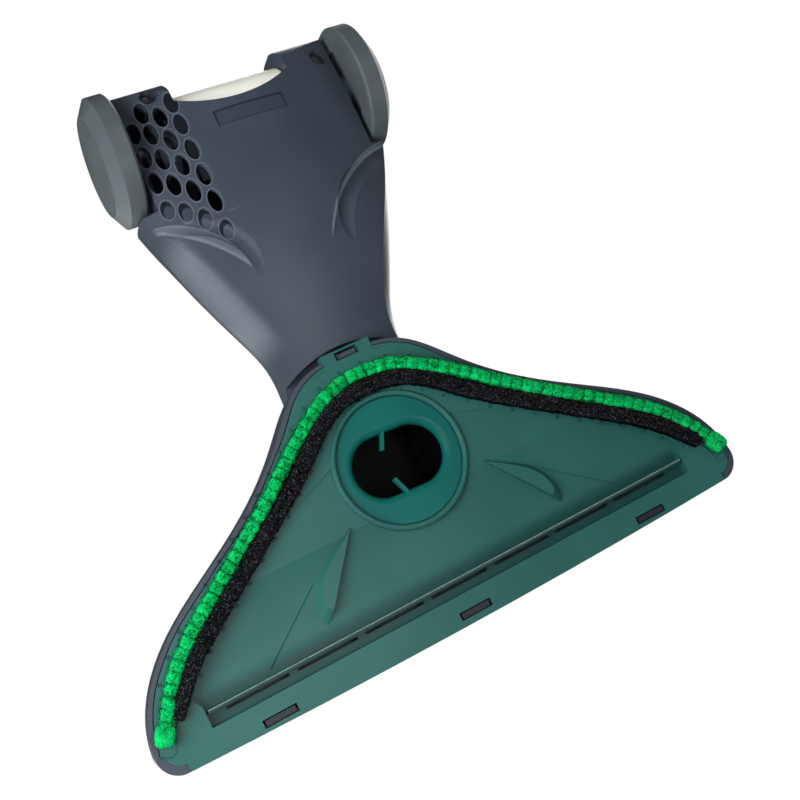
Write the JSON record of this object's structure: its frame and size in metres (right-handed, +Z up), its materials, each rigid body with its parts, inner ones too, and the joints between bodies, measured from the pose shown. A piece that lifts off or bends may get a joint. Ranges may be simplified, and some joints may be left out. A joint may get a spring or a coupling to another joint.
{
  "type": "vacuum floor brush head",
  "caption": "Wide wing-shaped vacuum floor head with pile strips under the sole, a swivelling suction mouth, a neck on rear wheels and a tilting hose connector.",
  "frame": {"origin": "bottom centre of the bounding box, on the floor", "axes": "+X across the head, +Y from the front edge back to the wheels, +Z up"},
  "size_m": [0.269, 0.2644, 0.102],
  "materials": {
    "slate_plastic": "satin moulded shell",
    "black_plastic": "moulded duct",
    "disc_teal": "smooth mouth plate",
    "sole_teal": "satin sole",
    "green_pile": "woven pile",
    "black_pile": "woven pile",
    "lip_rubber": "soft lip",
    "seal_rubber": "soft seal",
    "cream_plastic": "smooth connector",
    "wheel_rubber": "soft tread",
    "wheel_grey": "moulded wheel",
    "screw_steel": "zinc steel",
    "bush_plastic": "slippery bush"
  },
  "bodies": {
    "neck": {"neck_base": "slate_plastic", "neck_cover": "slate_plastic", "suction_duct": "black_plastic", "mouth_plate": "disc_teal", "spigot_seal": "seal_rubber", "duct_seal": "seal_rubber", "neck_screws": "screw_steel", "left_axle_pin": "screw_steel", "right_axle_pin": "screw_steel", "left_axle_clip": "screw_steel", "right_axle_clip": "screw_steel", "left_pivot_bush": "bush_plastic", "right_pivot_bush": "bush_plastic"},
    "wing": {"wing_cover": "slate_plastic", "sole_plate": "sole_teal", "green_pile_strip": "green_pile", "black_pile_strip": "black_pile", "wiper_lip": "lip_rubber"},
    "connector": {"connector_barrel": "cream_plastic", "socket_tube": "cream_plastic", "socket_seal": "seal_rubber"},
    "left_wheel": {"left_wheel_tyre": "wheel_rubber", "left_wheel_rim": "wheel_grey", "left_hub_cap": "wheel_grey"},
    "right_wheel": {"right_wheel_tyre": "wheel_rubber", "right_wheel_rim": "wheel_grey", "right_hub_cap": "wheel_grey"}
  },
  "joints": [
    {"name": "wing_swivel", "type": "hinge", "parent": "neck", "child": "wing", "pos_m": [0.00347, -0.05625, 0.012], "axis": [0, 0, 1], "range_deg": [-16, 20]},
    {"name": "connector_tilt", "type": "hinge", "parent": "neck", "child": "connector", "pos_m": [0.00347, 0.10415, 0.033], "axis": [-1, 0, 0], "range_deg": [0, 60]},
    {"name": "left_wheel_spin", "type": "hinge", "parent": "neck", "child": "left_wheel", "pos_m": [0.05847, 0.10415, 0.028], "axis": [1, 0, 0], "continuous": true},
    {"name": "right_wheel_spin", "type": "hinge", "parent": "neck", "child": "right_wheel", "pos_m": [-0.05153, 0.10415, 0.028], "axis": [1, 0, 0], "continuous": true}
  ]
}
